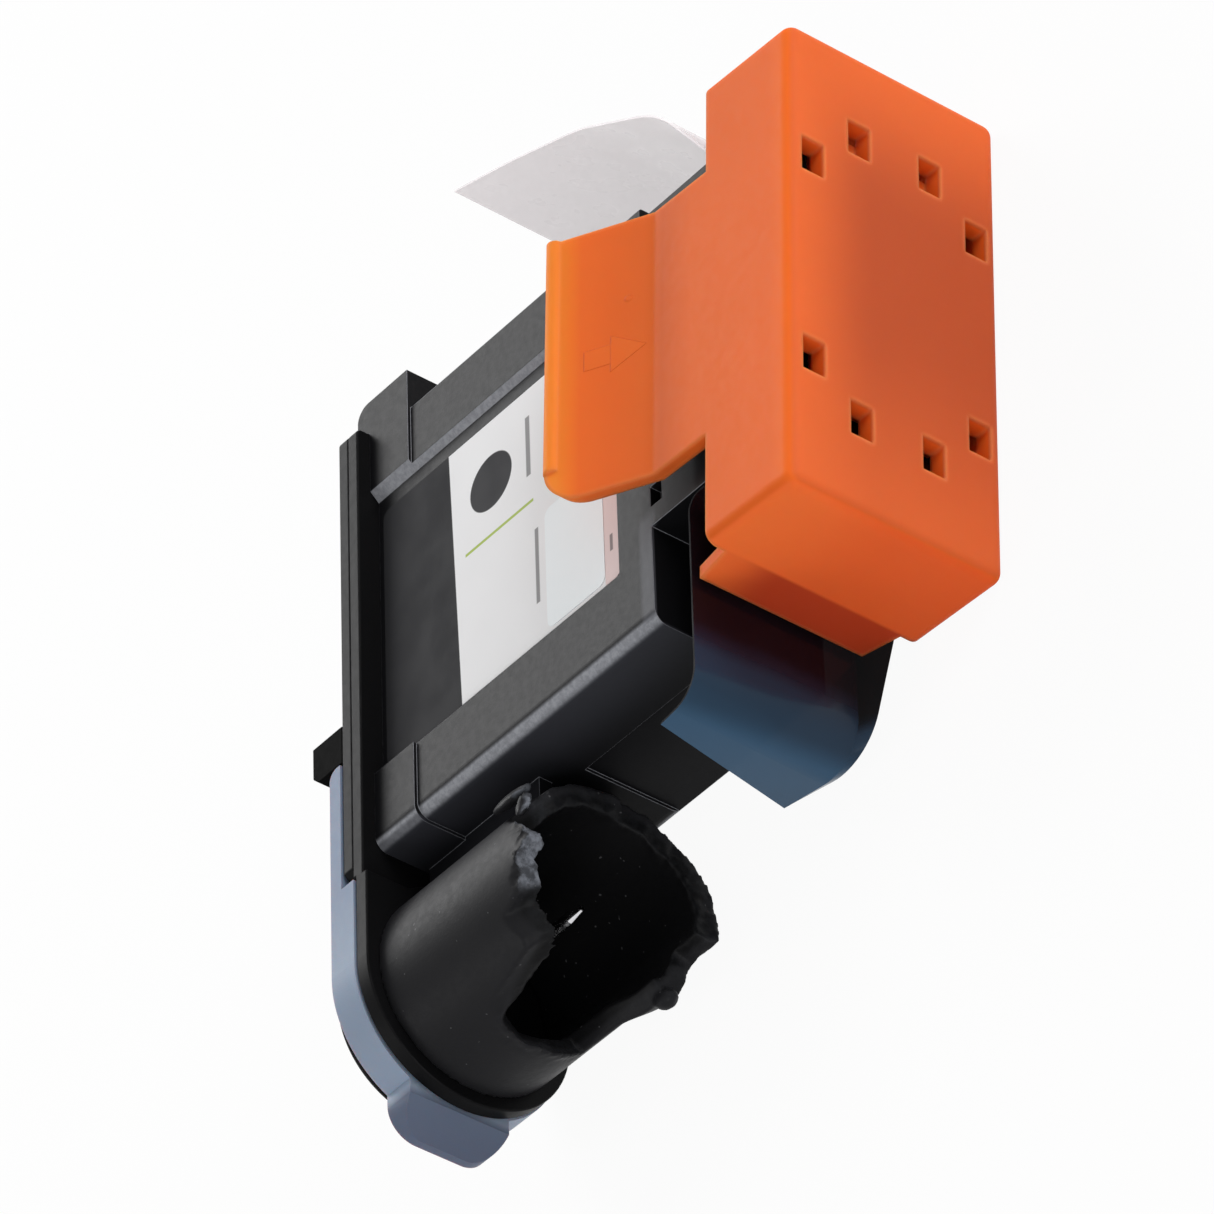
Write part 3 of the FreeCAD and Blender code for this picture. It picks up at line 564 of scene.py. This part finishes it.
KITS = {
    "pen_housing": housing_kit(),
    "crown_plate": plate_black,
    "top_lid": plate_black,
    "port_tower": torn_black,
    "needle_hub": moulded("hub_plastic", shade(14, 14, 15), 0.38, shine=BLACK_SHINE),
    "ink_needle": metal_kit("needle_steel", shade(215, 215, 218), 0.12, 0.26, 3000.0),
    "port_cover": plate_black,
    "hinge_ear_near": ear_black,
    "hinge_ear_far": ear_black,
    "vent_plug": moulded("vent_rubber", shade(44, 44, 46), 0.62),
    "print_label": label_kit(),
    "label_patch": patch,
    "flex_circuit": moulded("flex_film", shade(176, 110, 40), 0.25),
    "nozzle_plate": gold,
    "seal_bead_a": resin,
    "seal_bead_b": resin,
    "contact_pads": gold,
    "nozzle_tape": tape_kit(),
    "pull_tab": pull_film_kit(),
    "pull_handle": handle_kit(),
    "nozzle_cap": orange_kit(),
}

# Width of the finely rounded edges
BEVELS = {
    "pen_housing": 0.18 * MM,
    "crown_plate": 0.16 * MM,
    "top_lid": 0.15 * MM,
    "hinge_ear_near": 0.12 * MM,
    "hinge_ear_far": 0.12 * MM,
    "pull_handle": 0.25 * MM,
    "nozzle_cap": 0.18 * MM,
}
WELD_REACH = 0.002 * MM
FLAT_LIMIT = math.radians(0.3)
EDGE_LIMIT = math.radians(30)


def dress(name, kit):
    """Give a CAD node its material and, where it has a bevel, finely rounded edges."""
    thing = nodes[name]
    thing.data.materials.clear()
    thing.data.materials.append(kit.material)
    if name not in BEVELS:
        return
    weld = thing.modifiers.new("weld", "WELD")
    weld.merge_threshold = WELD_REACH
    flat = thing.modifiers.new("flat", "DECIMATE")
    flat.decimate_type = "DISSOLVE"
    flat.angle_limit = FLAT_LIMIT
    edge = thing.modifiers.new("edge", "BEVEL")
    edge.width = BEVELS[name]
    edge.segments = 3
    edge.limit_method = "ANGLE"
    edge.angle_limit = EDGE_LIMIT
    normals = thing.modifiers.new("normals", "WEIGHTED_NORMAL")
    normals.keep_sharp = True


for node_name, node_kit in KITS.items():
    dress(node_name, node_kit)


def place_in_scene(name, data):
    """A new object of the scene."""
    thing = bpy.data.objects.new(name, data)
    bpy.context.scene.collection.objects.link(thing)
    return thing


def add_piece(name, mesh, kit):
    """A new piece on the head, with its material."""
    thing = place_in_scene(name, mesh)
    mesh.materials.clear()
    mesh.materials.append(kit.material)
    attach(thing, "head")
    return thing


def smooth(value, low, high):
    """0 below low and 1 above high, with an even rise between them."""
    share = max(0.0, min(1.0, (value - low) / (high - low)))
    return share * share * (3 - 2 * share)


# Lumps of torn plastic on the mouth: centre, half sizes and turn about Y, in mm and degrees
LUMPS = [
    ((7.2, -16.8, 8.2), (1.7, 2.3, 0.55), 40),
    ((5.0, -19.0, 8.6), (1.3, 1.0, 0.6), 25),
    ((-7.0, -17.4, -6.9), (0.9, 1.2, 0.8), 0),
]
VOXEL = 0.22 * MM

# The tear: its place from the rim in mm, the degrees between which its lit side starts and
# ends, and its depth in mm away from the lit side and on it
SECTORS = 90
TEAR_SEED = 3
TEAR_BAND = (0.2, 1.6)
LIT_START = (45, 56)
LIT_END = (106, 114)
TEAR_SCALE = 620
TEAR_DEPTH = 0.16
TEAR_DEPTH_LIT = 0.56
# Share of the rim's painted highlight away from the lit side, and the facing out of the mouth over
# which it rises
DIM_MARK = 0.03
MARK_FACING = (0.15, 0.6)

# Bulge of the far lip: depth below the flange, angle and half spread, and how far it stands out
BULGE_DEPTH = (11.5, 15.5)
BULGE_ANGLE = -128
BULGE_SPREAD = 24
BULGE_REACH = 0.9


def lumpy_tower():
    """Mesh of the tower with its lumps, joined into one fine skin."""
    mesh = nodes["port_tower"].data.copy()
    build = bmesh.new()
    build.from_mesh(mesh)
    for centre, half, turn in LUMPS:
        place = Matrix.Translation(Vector(centre) * MM)
        place = place @ Matrix.Rotation(math.radians(turn), 4, "Y")
        place = place @ Matrix.Diagonal(Vector(half + (1.0,))) @ Matrix.Scale(MM, 4)
        bmesh.ops.create_icosphere(build, subdivisions=3, radius=1.0, matrix=place)
    build.to_mesh(mesh)
    build.free()
    draft = place_in_scene("tower_draft", mesh)
    remesh = draft.modifiers.new("remesh", "REMESH")
    remesh.mode = "VOXEL"
    remesh.voxel_size = VOXEL
    remesh.use_smooth_shade = True
    ready = draft.evaluated_get(bpy.context.evaluated_depsgraph_get())
    shell = bpy.data.meshes.new_from_object(ready)
    bpy.data.objects.remove(draft)
    return shell


def sector(place):
    """Number of the sector round the tower's axis that a place is in."""
    turn = math.atan2(place.z, place.x) % math.tau
    return int(turn / math.tau * SECTORS) % SECTORS


def tear(shell):
    """Make the rim ragged, push out the far lip, and mark the torn rim for a painted highlight,
    full on the lit side and faint elsewhere.
    """
    noise.seed_set(TEAR_SEED)
    rim = [0.0] * SECTORS
    for vertex in shell.vertices:
        here = sector(vertex.co)
        rim[here] = min(rim[here], vertex.co.y)
    rim_highlights = []
    moves = []
    for vertex in shell.vertices:
        place = vertex.co.copy()
        here = sector(place)
        rim_here = max(rim[here - 1], rim[here], rim[(here + 1) % SECTORS])
        near_rim = 1 - smooth((place.y - rim_here) / MM, *TEAR_BAND)
        angle = math.degrees(math.atan2(place.z, place.x))
        lit = smooth(angle, *LIT_START) * (1 - smooth(angle, *LIT_END))
        rough = (TEAR_DEPTH + (TEAR_DEPTH_LIT - TEAR_DEPTH) * lit) * near_rim * MM
        ragged = noise.turbulence_vector(place * TEAR_SCALE, 3, False) * rough
        outward = Vector((place.x, 0, place.z)).normalized()
        beside = max(0.0, 1 - abs(angle - BULGE_ANGLE) / BULGE_SPREAD)
        bulge = smooth(-place.y / MM, *BULGE_DEPTH) * beside * BULGE_REACH * MM
        moves.append(ragged + outward * bulge)
        facing = smooth(-vertex.normal.y, *MARK_FACING)
        rim_highlights.append(near_rim * (DIM_MARK + (1 - DIM_MARK) * lit) * facing)
    for vertex, move in zip(shell.vertices, moves):
        vertex.co += move
    torn = shell.attributes.new("torn", "FLOAT", "POINT")
    torn.data.foreach_set("value", rim_highlights)


def tower_shell():
    """Tower whose mouth is torn, in place of the plain one."""
    shell = lumpy_tower()
    tear(shell)
    piece = add_piece("tower_shell", shell, torn_black)
    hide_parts("port_tower")


PATCH_CORNER = 0.9
PATCH_THICK = 0.04
CORNER_STEPS = 6


def slab(build, outline, floor, thick):
    """A flat piece with an outline in X and Y, standing on the height floor, in mm."""
    low, high = [[build.verts.new(Vector((x, y, height)) * MM) for x, y in outline]
                 for height in (floor, floor + thick)]
    build.faces.new(high)
    build.faces.new(low[::-1])
    for index in range(len(outline)):
        after = (index + 1) % len(outline)
        build.faces.new((low[index], low[after], high[after], high[index]))
    bmesh.ops.recalc_face_normals(build, faces=build.faces)


def patch_sheet():
    """Thin patch with rounded corners, in place of the plain sheet."""
    low, high = [Vector(corner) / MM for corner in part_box("label_patch")]
    inner_low = low + Vector((PATCH_CORNER, PATCH_CORNER, 0))
    inner_high = high - Vector((PATCH_CORNER, PATCH_CORNER, 0))
    outline = []
    for centre_x, centre_y, start in (
        (inner_high.x, inner_high.y, 0),
        (inner_low.x, inner_high.y, 90),
        (inner_low.x, inner_low.y, 180),
        (inner_high.x, inner_low.y, 270),
    ):
        for step in range(CORNER_STEPS + 1):
            turn = math.radians(start + step * 90 / CORNER_STEPS)
            outline.append((centre_x + PATCH_CORNER * math.cos(turn),
                            centre_y + PATCH_CORNER * math.sin(turn)))
    build = bmesh.new()
    slab(build, outline, low.z, PATCH_THICK)
    mesh = bpy.data.meshes.new("patch_sheet")
    build.to_mesh(mesh)
    build.free()
    piece = add_piece("patch_sheet", mesh, patch)
    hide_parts("label_patch")


FLOOR_GAP = 0.05 * MM
FLOOR_REACH = 3.0
FLOOR_GLOW = 0.94
WORLD_LIGHT = 0.25

# Lamps: direction from the object, distance and side of the square in metres, power in watts
LAMP_TARGET = Vector((0.028, -0.026, 0.0))
LAMPS = (
    ("key", (0.50, -0.80, 0.30), 0.60, 0.35, 2.2),
    ("left", (-0.49, 0.60, 0.64), 0.60, 0.20, 0.5),
    ("back", (0.63, 0.60, 0.49), 0.80, 0.45, 3.5),
    ("front", (-0.85, -0.35, 0.35), 0.60, 0.35, 1.2),
)


def seeing_rays(tree):
    """1 for the rays that see the surroundings themselves, and 0 for the rays that light."""
    path = tree.nodes.new("ShaderNodeLightPath")
    seen = path.outputs["Is Camera Ray"]
    for name in ("Is Glossy Ray", "Is Transmission Ray"):
        either = tree.nodes.new("ShaderNodeMath")
        either.operation = "MAXIMUM"
        tree.links.new(seen, either.inputs[0])
        tree.links.new(path.outputs[name], either.inputs[1])
        seen = either.outputs["Value"]
    return seen


def add_floor():
    """Pale floor just below the object, which keeps the object's shadow."""
    mesh = bpy.data.meshes.new("floor")
    level = cad_low[2] - FLOOR_GAP
    sides = ((-1, -1), (1, -1), (1, 1), (-1, 1))
    corners = [(FLOOR_REACH * x, FLOOR_REACH * y, level) for x, y in sides]
    mesh.from_pydata(corners, [], [(0, 1, 2, 3)])
    floor = place_in_scene("floor", mesh)
    kit = Nodes("floor")
    kit.set("Base Color", shade(225, 225, 225))
    kit.set("Roughness", 0.6)
    glow = kit.add("Emission")
    kit.feed(glow.inputs["Color"], WHITE)
    kit.feed(glow.inputs["Strength"], 1.0)
    blend = kit.add("MixShader")
    kit.join(kit.both(seeing_rays(kit.tree), FLOOR_GLOW), blend.inputs["Fac"])
    kit.join(kit.shader.outputs["BSDF"], blend.inputs[1])
    kit.join(glow.outputs["Emission"], blend.inputs[2])
    kit.join(blend.outputs["Shader"], kit.output.inputs["Surface"])
    mesh.materials.append(kit.material)


def add_world():
    """White surroundings that give only a soft part of the light."""
    world = bpy.data.worlds.new("studio")
    bpy.context.scene.world = world
    world.use_nodes = True
    tree = world.node_tree
    background = tree.nodes["Background"]
    background.inputs["Color"].default_value = WHITE
    strength = tree.nodes.new("ShaderNodeMapRange")
    strength.inputs["To Min"].default_value = WORLD_LIGHT
    strength.inputs["To Max"].default_value = 1.0
    tree.links.new(seeing_rays(tree), strength.inputs["Value"])
    tree.links.new(strength.outputs["Result"], background.inputs["Strength"])


def add_lamps():
    """Square lamps round the object."""
    for name, towards, distance, side, power in LAMPS:
        lamp = bpy.data.lights.new(name, "AREA")
        lamp.shape = "SQUARE"
        lamp.size = side
        lamp.energy = power
        thing = place_in_scene(name, lamp)
        direction = Vector(towards).normalized()
        thing.location = LAMP_TARGET + direction * distance
        thing.rotation_euler = direction.to_track_quat("Z", "Y").to_euler()


def add_camera():
    """Camera that sees the object as the photograph shows it."""
    data = bpy.data.cameras.new("camera")
    data.sensor_width = CAMERA_SENSOR
    data.sensor_fit = "HORIZONTAL"
    data.lens = CAMERA_LENS
    data.clip_start, data.clip_end = CAMERA_CLIP
    thing = place_in_scene("camera", data)
    right = CAMERA_RIGHT.normalized()
    up = (CAMERA_UP - right * CAMERA_UP.dot(right)).normalized()
    turn = Matrix((right, up, right.cross(up))).transposed()
    thing.matrix_world = Matrix.Translation(CAMERA_PLACE) @ turn.to_4x4()
    bpy.context.scene.camera = thing


tower_shell()
patch_sheet()
add_camera()
add_floor()
add_world()
add_lamps()
bpy.context.scene.view_settings.view_transform = "Standard"
